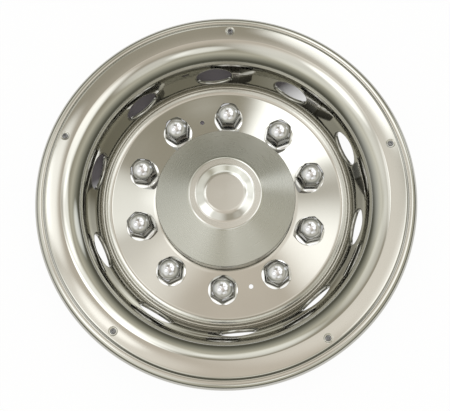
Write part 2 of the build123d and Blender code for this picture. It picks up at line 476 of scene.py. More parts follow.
@dataclass(frozen=True)
class Metal:
    """A metal finish: colours, roughness by zones of radius, its swing, slow waves and a fine grain.

    The painted shade levels are shares of the colour by height: painted shade that darkens the metal at some
    heights, where it mirrors dark surroundings. Radii, heights and rises are millimetres.
    """

    name: str
    colour: Colour
    tint: Colour
    zones: Pairs
    swing: float
    grain_height: float
    wave_height: float
    wave_scale: float
    stretch: float = 0.0
    grain: Grain = Grain.EVEN
    # Painted shade: shares of the colour by height, darker where the metal mirrors dark surroundings.
    painted_shade_levels: Pairs = ()

    def material(self) -> bpy.types.Material:
        """Builds the finish as nodes.

        The colour drifts between two close tints and the roughness swings about its mean with soft noise.
        Slow waves and a fine grain bend the surface. A turned grain's gloss is stretched along the radius,
        as it is on turned metal.

        Returns:
            The material.
        """
        material = bpy.data.materials.new(self.name)
        material.use_nodes = True
        nodes = Nodes(material.node_tree)
        place = nodes.add("ShaderNodeTexCoord", {}).outputs["Object"]
        smudge = nodes.noise(place, SMUDGE_SCALE, SMUDGE_DETAIL)
        marks = nodes.noise(self.grain_place(nodes, place), 1.0, GRAIN_DETAIL)
        waves = nodes.noise(place, self.wave_scale, WAVE_DETAIL)
        drift = nodes.ramp(smudge, tuple(zip(SMUDGE_RANGE, (self.tint, self.colour))))
        gloss = nodes.math("MULTIPLY", smudge, marks)
        swing = nodes.ranged(gloss, GLOSS_RANGE, (1 - self.swing, 1 + self.swing))
        slow = nodes.bumped(waves, self.wave_height, {})
        inputs = {
            "Metallic": 1.0,
            "Anisotropic": self.stretch,
            # The base colour carries the painted shade by height.
            "Base Color": self.with_painted_shade(nodes, place, drift),
            "Roughness": nodes.math("MULTIPLY", swing, self.zone_roughness(nodes, place)),
            "Normal": nodes.bumped(marks, self.grain_height, {"Normal": slow}),
        }
        if self.grain is Grain.TURNED:
            inputs["Tangent"] = nodes.vector("MULTIPLY", place, (1.0, 1.0, 0.0))
        nodes.feed(nodes.tree.nodes["Principled BSDF"], inputs)
        return material

    def with_painted_shade(self, nodes: Nodes, place: Socket, colour: Socket) -> Socket:
        """Paints shade into a colour: scales it by the painted shade levels, with straight lines between
        their values over the height.

        Args:
            nodes: nodes of the material.
            place: the object's own coordinates.
            colour: the colour.

        Returns:
            The colour with its painted shade, or the colour itself where there is none.
        """
        if not self.painted_shade_levels:
            return colour
        height = nodes.math("DIVIDE", nodes.parts(place)[2], SHADE_SPAN)
        return nodes.vector("MULTIPLY", colour, nodes.levels(height, self.painted_shade_levels, SHADE_SPAN))

    def zone_roughness(self, nodes: Nodes, place: Socket) -> Feed:
        """Roughness that follows the zones: straight lines between their values over the radius.

        Args:
            nodes: nodes of the material.
            place: the object's own coordinates.

        Returns:
            The roughness, a plain number where there is one zone.
        """
        if len(self.zones) == 1:
            return self.zones[0][1]
        flat = nodes.vector("MULTIPLY", place, (1 / ZONE_SPAN, 1 / ZONE_SPAN, 0.0))
        return nodes.levels(nodes.measure("LENGTH", flat), self.zones, ZONE_SPAN)

    def grain_place(self, nodes: Nodes, place: Socket) -> Socket:
        """Place that the grain's noise reads, in noise cells.

        A turned grain reads radius, angle and height, so that it runs in circles. An even one reads x, y
        and z.

        Args:
            nodes: nodes of the material.
            place: the object's own coordinates.

        Returns:
            The place.
        """
        if self.grain is Grain.TURNED:
            east, north, height = nodes.parts(place)
            flat = nodes.add("ShaderNodeCombineXYZ", {"X": east, "Y": north}).outputs["Vector"]
            radius = nodes.measure("LENGTH", flat)
            angle = nodes.math("ARCTAN2", east, north)
            inputs = {"X": radius, "Y": angle, "Z": height}
            place = nodes.add("ShaderNodeCombineXYZ", inputs).outputs["Vector"]
        return nodes.vector("MULTIPLY", place, self.grain.value)


POLISHED_STEEL = Metal(
    name="polished_stainless",
    colour=(0.50, 0.49, 0.445),
    tint=(0.48, 0.47, 0.425),
    zones=((188.0, 0.06), (192.5, 0.2), (202.0, 0.18), (205.0, 0.04), (250.0, 0.05), (258.0, 0.07)),
    swing=0.2,
    grain_height=0.0003,
    wave_height=0.05,
    wave_scale=17.0,
    stretch=0.8,
    grain=Grain.TURNED,
    # Painted shade: the wall between the rim and the roll is darkened, as the dish mirrors dark surroundings
    # there.
    painted_shade_levels=((6.8, 1.0), (9.0, 0.74), (38.0, 0.74), (46.0, 1.0)),
)
CAP_STEEL = Metal(
    name="cap_stainless",
    colour=(0.55, 0.545, 0.505),
    tint=(0.53, 0.525, 0.485),
    zones=(
        (30.0, 0.12),
        (33.0, 0.06),
        (44.0, 0.06),
        (47.0, 0.17),
        (53.0, 0.17),
        (56.5, 0.06),
        (60.0, 0.28),
    ),
    swing=0.08,
    grain_height=0.0001,
    wave_height=0.03,
    wave_scale=17.0,
    stretch=0.6,
    grain=Grain.TURNED,
)
COVER_CHROME = Metal(
    name="cover_chrome",
    # A bright colour, so that the flared feet and the dome show painted highlight.
    colour=(0.86, 0.86, 0.87),
    tint=(0.82, 0.82, 0.83),
    zones=((0.0, 0.06),),
    swing=0.3,
    grain_height=0.0004,
    wave_height=0.02,
    wave_scale=60.0,
    # Painted shade and painted highlight: the hexagon flats are darkened, and the flared feet and the dome
    # keep the bright colour.
    painted_shade_levels=((5.0, 1.0), (8.0, 0.5), (12.0, 0.22), (28.0, 0.1), (31.5, 0.62), (36.0, 0.68)),
)
RIVET_ALLOY = Metal(
    name="rivet_alloy",
    colour=(0.2, 0.2, 0.2),
    tint=(0.15, 0.15, 0.15),
    zones=((0.0, 0.22),),
    swing=0.25,
    grain_height=0.006,
    wave_height=0.01,
    wave_scale=150.0,
)
CLIP_STEEL = Metal(
    name="clip_spring_steel",
    colour=(0.45, 0.45, 0.45),
    tint=(0.37, 0.37, 0.375),
    zones=((0.0, 0.36),),
    swing=0.25,
    grain_height=0.006,
    wave_height=0.03,
    wave_scale=60.0,
)


@dataclass(frozen=True)
class Outline:
    """A closed curve in the tangent plane of a sheet: two end arcs joined by two flatter side arcs."""

    half_width: float
    half_height: float
    end_radius: float

    def points(self, normal_angle: Array, margin: Array) -> tuple[Array, Array]:
        """Points of the curve, grown by a margin, where its outward normal has the given angles.

        An end arc's centre lies on the long axis and a side arc's on the short one. The two arcs share a
        normal where the line through both centres cuts the curve, so each angle belongs to one of them.

        Args:
            normal_angle: angles in radians.
            margin: millimetres added outside the curve.

        Returns:
            Offsets along and across the long axis.
        """
        east, north = np.cos(normal_angle), np.sin(normal_angle)
        end_centre = self.half_width - self.end_radius
        if end_centre <= 0:
            return (self.half_width + margin) * east, (self.half_width + margin) * north
        spread = end_centre**2 + self.half_height**2 - self.end_radius**2
        side_radius = spread / (2 * (self.half_height - self.end_radius))
        side_centre = side_radius - self.half_height
        on_end = np.abs(east) * side_centre > np.abs(north) * end_centre
        reach = np.where(on_end, self.end_radius, side_radius) + margin
        along = np.where(on_end, np.sign(east) * end_centre, 0.0)
        across = np.where(on_end, 0.0, -np.sign(north) * side_centre)
        return along + reach * east, across + reach * north


@dataclass(frozen=True)
class Lip:
    """The line of a sheet from its front, over a hole's edge and on to its back: margins and depths."""

    margin: Array
    depth: Array

    def facing(self) -> tuple[Array, Array]:
        """The way that the lip faces: the line's tangent, turned to its right.

        Returns:
            Its parts along the margin and along the depth.
        """
        along, down = np.gradient(self.margin), np.gradient(self.depth)
        length = np.hypot(along, down)
        return down / length, -along / length


def punched_lip(sheet: float, edge: float) -> Lip:
    """Lip of a plain punched hole: two quarter rounds of an edge radius with a straight between them.

    Args:
        sheet: thickness of the sheet.
        edge: radius of the broken edges.

    Returns:
        The lip.
    """
    angle = np.radians(np.linspace(0, 90, PUNCHED_ROWS))
    front = (edge * (1 - np.sin(angle)), -edge * (1 - np.cos(angle)))
    back = (edge * (1 - np.cos(angle)), -sheet + edge * (1 - np.sin(angle)))
    return Lip(*stacked([front, back]))


def pressed_lip(sheet: float, bend_radius: float, depth: float) -> Lip:
    """Lip pressed back round a hole: an arc into the hole, a straight, a rounded end, and the same behind.

    Args:
        sheet: thickness of the sheet.
        bend_radius: front radius of the bend; behind, it is smaller by the sheet.
        depth: how far the lip reaches behind the front.

    Returns:
        The lip.
    """
    angle = np.radians(np.linspace(0, 90, PRESSED_ROWS))
    half = np.radians(np.linspace(0, 180, NOSE_ROWS))
    nose = sheet / 2
    front = (bend_radius * (1 - np.sin(angle)), -bend_radius * (1 - np.cos(angle)))
    end = (nose * (1 - np.cos(half)), -depth + nose - nose * np.sin(half))
    back_bend = bend_radius - sheet
    back = (bend_radius - back_bend * np.cos(angle), -bend_radius + back_bend * np.sin(angle))
    return Lip(*stacked([front, end, back]))


def dimple_lip(sheet: float, radius: float, floor: float, hole: float, depth: float) -> Lip:
    """Lip of a rivet's dimple: a smooth step down to a flat floor with a hole, and the same step behind.

    Args:
        sheet: thickness of the sheet.
        radius: outer radius of the dimple.
        floor: radius of its flat floor.
        hole: radius of the hole.
        depth: depth of the floor.

    Returns:
        The lip, with margins measured from the outer radius.
    """
    share = np.linspace(0, 1, DIMPLE_ROWS)
    step = share * share * (3 - 2 * share)
    front = (-(radius - floor) * share, -depth * step)
    seat = (np.array([hole, hole, hole]) - radius, np.array([-depth, -depth - sheet / 2, -depth - sheet]))
    back = (floor - radius + (radius - floor) * share + sheet / 3, -depth - sheet + depth * step)
    return Lip(*stacked([front, seat, back]))


@dataclass(frozen=True)
class Window:
    """A part of a turned sheet, between two bearings and two distances along its section, with its rows."""

    bearing: float
    half_angle: float
    middle: float
    below: float
    above: float
    side_steps: int
    front_rows: int
    back_rows: int

    def bearings(self) -> Array:
        """Bearings of the window's columns, both ends included."""
        count = round(2 * self.half_angle / COLUMN_STEP) + 1
        return self.bearing + np.linspace(-self.half_angle, self.half_angle, count)

    def distances(self) -> Array:
        """Distances of the window's side points, both ends included."""
        return np.linspace(self.middle - self.below, self.middle + self.above, self.side_steps + 1)

    def border(self) -> tuple[Array, Array, Array]:
        """The window's border, going round it.

        Returns:
            Bearing and distance of each point, and the angle in radians that it is seen at from the middle.
        """
        bearings, distances = self.bearings(), self.distances()
        across, along = np.ones(len(bearings) - 1), np.ones(self.side_steps)
        around, up = stacked(
            [
                (bearings[:-1], distances[0] * across),
                (bearings[-1] * along, distances[:-1]),
                (bearings[:0:-1], distances[-1] * across),
                (bearings[0] * along, distances[:0:-1]),
            ]
        )
        offset = up - self.middle
        rise = np.where(offset > 0, offset / self.above, offset / self.below)
        return around, up, np.arctan2(rise, (around - self.bearing) / self.half_angle)


@dataclass
class TurnedSheet:
    """A sheet of even thickness turned about the wheel's axis, with windows for holes and dimples."""

    section: Section
    sheet: float
    sway: Pairs = ((0.0, 0.0),)
    fine_step: float = 0.5
    front_turn: float = 12.0
    back_turn: float = 36.0
    long_run: float = 60.0
    row_gap: float = 0.15
    row_crowding: float = 1.4
    edge_rows: int = 5

    def __post_init__(self) -> None:
        """Samples the section finely, for places anywhere on the sheet."""
        self.track = self.section.trace(self.fine_step, self.fine_step)
        self.end = float(self.track.distance[-1])

    def skin(self, bearing: Array, distance: Array, depth: Array) -> tuple[Array, Array]:
        """Points of the sheet at a depth below its front, and the front's facing there.

        With heading h, the front's normal is (-sin h, cos h) in radius and height. A point is the section's
        point plus depth times that normal, turned to its bearing. The facing adds the sheet's sway at that
        radius, a slight doming of the polish that shows only in what the metal mirrors.

        Args:
            bearing: bearings in degrees.
            distance: distances along the section.
            depth: heights over the front; negative is behind it.

        Returns:
            Points and unit vectors.
        """
        radius, height, heading = self.track.at(distance)
        points = compass(bearing, radius - depth * np.sin(heading), height + depth * np.cos(heading))
        radii, tilts = np.array(self.sway).T
        looks = heading + np.radians(np.interp(radius, radii, tilts))
        return points, compass(bearing, -np.sin(looks), np.cos(looks))

    def rows(self, low: float, high: float, per_turn: float) -> Array:
        """Distances of the mesh rows between two distances, dense on the turns.

        Args:
            low: first distance.
            high: last distance.
            per_turn: degrees between rows on a turn.

        Returns:
            The distances, both ends included.
        """
        marks = self.section.trace(per_turn, self.long_run).distance
        inside = marks[(marks > low + self.row_gap) & (marks < high - self.row_gap)]
        return np.concatenate([[low], inside, [high]])

    def band(self, distances: Array, bearings: Array, wraps: bool) -> list[Surface]:
        """Front and back of a plain part of the sheet.

        Args:
            distances: rows along the section.
            bearings: columns.
            wraps: whether the columns close on themselves.

        Returns:
            The two surfaces.
        """
        across, along = np.meshgrid(bearings, distances)
        front, facing = self.skin(across, along, np.zeros_like(along))
        back, _ = self.skin(across, along, np.full_like(along, -self.sheet))
        return [Surface.grid(front, facing, wraps), Surface.grid(back, -facing, wraps)]

    def ring(self, low: float, high: float) -> list[Surface]:
        """The whole turn between two distances, with fewer rows behind.

        Args:
            low: first distance.
            high: last distance.

        Returns:
            Front and back.
        """
        front = self.band(self.rows(low, high, self.front_turn), ALL_BEARINGS, True)[0]
        back = self.band(self.rows(low, high, self.back_turn), ALL_BEARINGS, True)[1]
        return [front, back]

    def rounded_edge(self, distance: float, way: float) -> Surface:
        """Half round that closes the sheet's edge: cos w along the normal and sin w along the section.

        Args:
            distance: distance of the edge.
            way: 1 at the section's end, -1 at its start.

        Returns:
            The edge.
        """
        turn = np.radians(np.linspace(0, 180, self.edge_rows))[:, None]
        radius, height, heading = self.track.at(np.array(distance))
        half = self.sheet / 2
        out = -np.sin(heading) * np.cos(turn) + way * np.cos(heading) * np.sin(turn)
        up = np.cos(heading) * np.cos(turn) + way * np.sin(heading) * np.sin(turn)
        radii = radius + half * (out + np.sin(heading))
        heights = height + half * (up - np.cos(heading))
        return Surface.grid(compass(ALL_BEARINGS, radii, heights), compass(ALL_BEARINGS, out, up), True)

    def pierced(self, window: Window, outline: Outline, lip: Lip) -> Surface:
        """A window with a hole or a dimple in it, as one grid that goes round the outline.

        Rows run from the window's border in to the outline's largest margin, over the lip, and out again
        behind. Between border and outline a row is their weighted mean in bearing and distance. An offset
        (u, v) in the tangent plane lies at the distance middle + v + cos h (R - sqrt(R R - u u)) and at the
        bearing asin(u / R) from the window's own.

        Args:
            window: where the hole is.
            outline: its curve.
            lip: what the sheet does at the curve.

        Returns:
            The surface, front and back.
        """
        around, up, seen = window.border()
        along, across = outline.points(seen[None, :], lip.margin[:, None])
        radius, _, heading = self.track.at(window.middle + across)
        distance = window.middle + across + np.cos(heading) * (radius - np.sqrt(radius**2 - along**2))
        bearing = window.bearing + np.degrees(np.arcsin(along / self.track.at(distance)[0]))
        edge, normal = self.skin(bearing, distance, lip.depth[:, None])
        sideways, down = lip.facing()
        tilt = self.track.at(distance)[2]
        tangent = compass(bearing + 90, np.ones_like(bearing), np.zeros_like(bearing))
        slope = compass(bearing, np.cos(tilt), np.sin(tilt))
        outward = np.cos(seen)[None, :, None] * tangent + np.sin(seen)[None, :, None] * slope
        edge_facing = sideways[:, None, None] * outward + down[:, None, None] * normal
        edge_facing[0], edge_facing[-1] = normal[0], -normal[-1]
        inward = np.linspace(1, 0, window.front_rows + 1)[:-1, None] ** self.row_crowding
        outgoing = np.linspace(0, 1, window.back_rows + 1)[1:, None] ** self.row_crowding
        front, front_facing = self.skin(
            blend(inward, around, bearing[0]), blend(inward, up, distance[0]), 0.0
        )
        back, back_facing = self.skin(
            blend(outgoing, around, bearing[-1]), blend(outgoing, up, distance[-1]), -self.sheet
        )
        points = np.concatenate([front, edge, back])
        return Surface.grid(points, np.concatenate([front_facing, edge_facing, -back_facing]), True)


@dataclass
class Dish:
    """The spun dish: flat face, rim, valley, wall with hand holes, roll, crowned flange and beaded edge.

    The rows of a window are its side steps, the rows in front and the rows behind.
    """

    sheet: float = 1.2
    hub_radius: float = 111.34
    face_height: float = 2.4
    bolt_radius: float = 142.875
    rim_radius: float = 197.3
    rim_rise: float = 4.2
    rim_tilt: float = 30.0
    rim_foot_round: float = 19.0
    rim_top_round: float = 2.3
    drop_tilt: float = 75.0
    valley_width: float = 2.8
    valley_round: float = 1.7
    depth: float = 76.4
    wall_tilt: float = 72.0
    roll_reach: float = 56.948
    roll_rise: float = 33.334
    crease_radius: float = 5.0
    crease_tilts: tuple[float, float] = (15.0, 5.0)
    shoulder_tilt: float = 40.0
    shoulder_length: float = 5.2
    shoulder_round: float = 4.0
    bead_foot: float = 1.5
    bead_foot_round: float = 1.8
    bead_rise: float = 12.0
    bead_radius: float = 10.5
    skirt_length: float = 4.0
    edge_break: float = 0.4
    lug_holes: int = 10
    lug_hole_radius: float = 19.4
    key_hole_radius: float = 3.5
    key_sectors: tuple[int, ...] = (9, 19)
    face_margin: float = 24.5
    face_rows: tuple[int, int, int] = (12, 4, 4)
    hand_holes: int = 10
    hole_bearing: float = -7.0
    hole_radius: float = 209.88
    hole_outline: tuple[float, float, float] = (28.5, 15.97, 11.0)
    hole_bend: float = 3.6
    hole_lip: float = 6.0
    wall_margins: tuple[float, float] = (21.5, 22.0)
    wall_rows: tuple[int, int, int] = (14, 7, 5)
    rivets: int = 5
    rivet_radius: float = 264.48
    rivet_hole: float = 2.5
    dimple_radius: float = 7.4
    dimple_floor: float = 5.1
    dimple_depth: float = 1.0
    dimple_half_angle: float = 5.0
    dimple_margin: float = 8.8
    dimple_rows: tuple[int, int, int] = (10, 4, 4)
    sway: Pairs = ((112.0, -5.0), (184.0, -5.0), (192.0, 0.0))

    def build(self, finish: Metal) -> bpy.types.Object:
        """Makes the dish as one closed skin.

        Args:
            finish: its metal.

        Returns:
            The piece.
        """
        sheet = TurnedSheet(self.section(), self.sheet, self.sway)
        face_middle = sheet.track.distance_at_radius(self.bolt_radius)
        wall_middle = sheet.track.distance_at_radius(self.hole_radius)
        rivet_middle = sheet.track.distance_at_radius(self.rivet_radius)
        below, above = self.wall_margins
        parts = [sheet.rounded_edge(0.0, -1.0), sheet.rounded_edge(sheet.end, 1.0)]
        parts += sheet.ring(0.0, face_middle - self.face_margin)
        parts += self.face_sectors(sheet, face_middle)
        parts += sheet.ring(face_middle + self.face_margin, wall_middle - below)
        parts += self.wall_sectors(sheet, wall_middle)
        parts += sheet.ring(wall_middle + above, rivet_middle - self.dimple_margin)
        parts += self.flange_sectors(sheet, rivet_middle)
        parts += sheet.ring(rivet_middle + self.dimple_margin, sheet.end)
        return Surface.joined(parts).piece("dish_skin", "dish", "dish", finish.material())

    def section(self) -> Section:
        """Front line of the dish, with its corners rounded as a press leaves them.

        Returns:
            The line from the hub opening to the skirt.
        """
        edge = self.sheet / 2
        rise = math.sin(math.radians(self.rim_tilt))
        reach = self.rim_rise / math.tan(math.radians(self.rim_tilt))
        drop = (self.face_height + self.rim_rise - self.sheet) / math.sin(math.radians(self.drop_tilt))
        wall_rise = self.face_height + self.depth - self.roll_rise - self.sheet
        roll_radius, crown_radius = self.roll_radii()
        steep, gentle = self.crease_tilts
        steps = (
            run(self.rim_radius - reach - self.hub_radius - edge),
            corner(self.rim_tilt, self.rim_foot_round),
            run(self.rim_rise / rise),
            corner(-self.rim_tilt - self.drop_tilt, self.rim_top_round),
            run(drop),
            corner(self.drop_tilt, self.valley_round),
            run(self.valley_width),
            corner(self.wall_tilt, self.valley_round),
            run(wall_rise / math.sin(math.radians(self.wall_tilt))),
            bend(roll_radius, steep - self.wall_tilt),
            bend(self.crease_radius, gentle - steep),
            bend(crown_radius, -gentle),
            run(self.bead_foot),
            corner(-self.shoulder_tilt, self.shoulder_round),
            run(self.shoulder_length),
            corner(self.shoulder_tilt + self.bead_rise, self.bead_foot_round),
            run(self.bead_foot),
            bend(self.bead_radius, -self.bead_rise - 90),
            run(self.skirt_length - edge),
        )
        return Section((self.hub_radius + edge, self.face_height), 0.0, steps)

    def roll_radii(self) -> tuple[float, float]:
        """Radii of the roll and of the flange's crown.

        An arc of radius r from tilt a to tilt b reaches r (sin a - sin b) and rises r (cos b - cos a).
        Roll, crease and crown have a set reach and rise together, which gives two equations for two radii.

        Returns:
            The radius of the roll and that of the crown.
        """
        tilts = np.radians([self.wall_tilt, *self.crease_tilts, 0.0])
        reach = np.sin(tilts[:-1]) - np.sin(tilts[1:])
        rise = np.cos(tilts[1:]) - np.cos(tilts[:-1])
        left = np.array([reach[[0, 2]], rise[[0, 2]]])
        crease = self.crease_radius * np.array([reach[1], rise[1]])
        roll, crown = np.linalg.solve(left, np.array([self.roll_reach, self.roll_rise]) - crease)
        return float(roll), float(crown)

    def face_sectors(self, sheet: TurnedSheet, middle: float) -> list[Surface]:
        """Sectors of the face: a lug hole in every other one, a key hole in two, the rest plain.

        Args:
            sheet: the turned sheet.
            middle: distance of the bolt circle.

        Returns:
            The sectors.
        """
        parts: list[Surface] = []
        lip, margin = punched_lip(self.sheet, self.edge_break), self.face_margin
        step = FULL_TURN / (2 * self.lug_holes)
        for index in range(2 * self.lug_holes):
            has_lug = index % 2 == 0
            radius = self.lug_hole_radius if has_lug else self.key_hole_radius
            window = Window(step * index, step / 2, middle, margin, margin, *self.face_rows)
            if has_lug or index in self.key_sectors:
                parts.append(sheet.pierced(window, Outline(radius, radius, radius), lip))
            else:
                parts += sheet.band(window.distances(), window.bearings(), False)
        return parts

    def wall_sectors(self, sheet: TurnedSheet, middle: float) -> list[Surface]:
        """Sectors of the wall, each with a hand hole whose lip is pressed back.

        Args:
            sheet: the turned sheet.
            middle: distance of the holes' middle.

        Returns:
            The sectors.
        """
        parts: list[Surface] = []
        lip = pressed_lip(self.sheet, self.hole_bend, self.hole_lip)
        step = FULL_TURN / self.hand_holes
        for index in range(self.hand_holes):
            bearing = self.hole_bearing + step * index
            window = Window(bearing, step / 2, middle, *self.wall_margins, *self.wall_rows)
            parts.append(sheet.pierced(window, Outline(*self.hole_outline), lip))
        return parts

    def flange_sectors(self, sheet: TurnedSheet, middle: float) -> list[Surface]:
        """The crowned flange: dimpled windows with plain sheet between them.

        Args:
            sheet: the turned sheet.
            middle: distance of the rivets.

        Returns:
            The sectors.
        """
        parts: list[Surface] = []
        radius, half, margin = self.dimple_radius, self.dimple_half_angle, self.dimple_margin
        lip = dimple_lip(self.sheet, radius, self.dimple_floor, self.rivet_hole, self.dimple_depth)
        step = FULL_TURN / self.rivets
        for index in range(self.rivets):
            window = Window(step * index, half, middle, margin, margin, *self.dimple_rows)
            parts.append(sheet.pierced(window, Outline(radius, radius, radius), lip))
            last = step * (index + 1) - half
            between = np.arange(step * index + half, last + COLUMN_STEP / 2, COLUMN_STEP)
            parts += sheet.band(window.distances(), between, False)
        return parts


@dataclass
class HubCap:
    """The hub cap: a raised boss in a flat ring, a wide cone, a short wall and a hidden flange."""

    sheet: float = 1.2
    radius: float = 110.54
    wall: float = 35.8
    flange_edge: float = 120.34
    flange_height: float = 1.2
    flange_round: float = 1.6
    dish_sheet: float = 1.2
    cone_tilt: float = 27.8
    cone_edge_round: float = 2.5
    ring_radius: float = 56.0
    ring_round: float = 7.0
    boss_radius: float = 45.0
    boss_foot_round: float = 14.0
    boss_top_radius: float = 31.5
    boss_top_round: float = 26.0
    boss_rise: float = 4.0
    fan_radius: float = 1.0

    def build(self, finish: Metal) -> bpy.types.Object:
        """Makes the cap as one closed skin.

        Args:
            finish: its metal.

        Returns:
            The piece.
        """
        sheet = TurnedSheet(self.section(), self.sheet)
        parts = sheet.ring(self.fan_radius, sheet.end) + [sheet.rounded_edge(sheet.end, 1.0)]
        inner = np.full_like(ALL_BEARINGS, self.fan_radius)
        front, facing = sheet.skin(ALL_BEARINGS, inner, 0.0)
        back, _ = sheet.skin(ALL_BEARINGS, inner, -self.sheet)
        top = self.top_height()
        parts.append(Surface.fan(front, facing, top * UP, UP))
        parts.append(Surface.fan(back, -facing, (top - self.sheet) * UP, -UP))
        return Surface.joined(parts).piece("hub_cap_shell", "hub_cap", "hub_cap", finish.material())

    def top_height(self) -> float:
        """Height of the boss's flat top."""
        cone = (self.radius - self.ring_radius) * math.tan(math.radians(self.cone_tilt))
        return self.flange_height + self.dish_sheet + self.wall + cone + self.boss_rise

    def section(self) -> Section:
        """Front line of the cap, with its corners rounded.

        Returns:
            The line from the axis to the flange's edge.
        """
        width = self.boss_radius - self.boss_top_radius
        boss_tilt = math.degrees(math.atan2(self.boss_rise, width))
        steps = (
            run(self.boss_top_radius),
            corner(-boss_tilt, self.boss_top_round),
            run(math.hypot(self.boss_rise, width)),
            corner(boss_tilt, self.boss_foot_round),
            run(self.ring_radius - self.boss_radius),
            corner(-self.cone_tilt, self.ring_round),
            run((self.radius - self.ring_radius) / math.cos(math.radians(self.cone_tilt))),
            corner(self.cone_tilt - 90, self.cone_edge_round),
            run(self.wall + self.dish_sheet),
            corner(90, self.flange_round),
            run(self.flange_edge - self.radius - self.sheet / 2),
        )
        return Section((0.0, self.top_height()), 0.0, steps)


@dataclass
class NutCovers:
    """Domed hexagonal nut covers on flared feet, hollow below, each turned its own way.

    The foot's edge and the socket's mouth are lists of an offset from the flats and a height.
    """

    turns: tuple[float, ...] = (0.0, 22.0, 2.0, 15.0, 38.0, 30.0, 28.0, -10.0, -5.0, -31.0)
    apothem: float = 18.0
    height: float = 38.0
    dome_radius: float = 24.1
    dome_start: float = 88.5
    dome_rows: int = 46
    flat_gaps: tuple[float, float] = (1.0, 1.5)
    flat_rows: int = 4
    flare_height: float = 9.5
    flare_span: float = 9.2
    flare_rows: int = 20
    foot_flare: float = 6.4
    foot_radius: float = 24.03
    foot_edge: float = 1.2
    foot_round: Pairs = ((0.0, 0.9), (0.0, 0.6), (0.0, 0.25), (-0.07, 0.07), (-0.25, 0.0), (-0.6, 0.0))
    bell: float = 7.0
    socket_apothem: float = 16.8
    socket_height: float = 24.0
    socket_mouth: Pairs = ((0.8, 0.0), (0.3, 0.0), (0.0, 0.3), (0.0, 1.0), (0.0, 8.0), (0.0, 16.0))
    socket_round: float = 0.4
    roof_rise: float = 8.5
    roof_inset: float = 9.0
    roof_start: float = 0.05
    roof_rows: int = 8
    lid_reaches: tuple[float, ...] = (5.0, 2.5, 0.5)
    sharpness: float = 34.0
    columns: int = 144

    def build(self, face: float, bolt: float, finish: Metal) -> list[bpy.types.Object]:
        """Makes the covers where they stand.

        Args:
            face: height of the face that they stand on.
            bolt: radius of the bolt circle.
            finish: their metal.

        Returns:
            The pieces.
        """
        shell, material = self.shell(), finish.material()
        pieces: list[bpy.types.Object] = []
        for index, turn in enumerate(self.turns):
            cosine, sine = math.cos(math.radians(turn)), math.sin(math.radians(turn))
            axes = np.array([[cosine, sine, 0.0], [-sine, cosine, 0.0], UP])
            cover = shell.moved(axes, compass(FULL_TURN / len(self.turns) * index, bolt, face))
            number = f"{index + 1:02d}"
            pieces.append(cover.piece(f"nut_cover_{number}", f"lug_cover_{number}", "nut_covers", material))
        return pieces

    def shell(self) -> Surface:
        """A cover as one closed skin, from the top of the dome down, under the foot and up into the socket.

        Above the dome's middle, a point is the middle plus r times a direction d, where 1 / r is the p-norm
        of (n . d / apothem) over the six flats and of 1 / dome radius: a minimum of distances with soft
        edges. Below it, each row is the same soft hexagon at one height.

        Returns:
            The skin.
        """
        angle = np.radians(np.arange(self.columns) * FULL_TURN / self.columns)
        middle = self.height - self.dome_radius
        rise = np.radians(np.linspace(self.dome_start, 0.0, self.dome_rows))[:, None]
        directions = spun(angle, np.cos(rise), np.sin(rise))
        facing = np.clip(directions @ spun(HEX_FLATS, 1.0, 0.0).T, 0, None) / self.apothem
        total = (facing**self.sharpness).sum(-1) + self.dome_radius**-self.sharpness
        dome = directions / (total ** (1 / self.sharpness))[..., None] + middle * UP
        above, below = self.flat_gaps
        flat_heights = np.linspace(middle - above, self.flare_height + below, self.flat_rows)
        flare_heights = self.foot_edge + self.flare_span * np.linspace(1.0, 0.0, self.flare_rows) ** 2
        outer = np.concatenate([flat_heights, flare_heights])
        fall = np.clip((self.flare_height - outer) / (self.flare_height - self.foot_edge), 0, 1)
        foot_offsets, foot_heights = np.array(self.foot_round).T
        socket_top = ((0.0, self.socket_height - self.socket_round), (0.0, self.socket_height))
        socket_offsets, socket_heights = np.array(self.socket_mouth + socket_top).T
        share = np.linspace(self.roof_start, 1.0, self.roof_rows)
        roof = self.socket_height + self.roof_rise * share
        reaches, heights = stacked(
            [
                (self.apothem + self.foot_flare * fall**self.bell, outer),
                (self.apothem + self.foot_flare + foot_offsets, foot_heights),
                (self.socket_apothem + socket_offsets, socket_heights),
                (self.socket_apothem - self.roof_inset * share, roof),
                (self.lid_reaches, np.full(len(self.lid_reaches), roof[-1])),
            ]
        )
        skin = Surface.lathe(np.concatenate([dome, self.soft_hexagon(angle, reaches, heights)]), -1.0)
        return skin.capped(self.columns, (self.height * UP, UP), (roof[-1] * UP, -UP))

    def soft_hexagon(self, angle: Array, reaches: Array, heights: Array) -> Array:
        """Rows of hexagons with softened corners that stay inside the foot's circle.

        Args:
            angle: angles of the columns in radians.
            reaches: distance of each row's flats from the axis.
            heights: height of each row.

        Returns:
            Rows by columns by 3 coordinates.
        """
        facing = np.clip(np.cos(angle[:, None] - HEX_FLATS[None, :]), 0, None)
        hexagon = (facing**self.sharpness).sum(-1) ** (1 / self.sharpness)
        inverse = hexagon[None, :] / reaches[:, None]
        radius = (inverse**self.sharpness + self.foot_radius**-self.sharpness) ** (-1 / self.sharpness)
        return spun(angle, radius, heights[:, None])


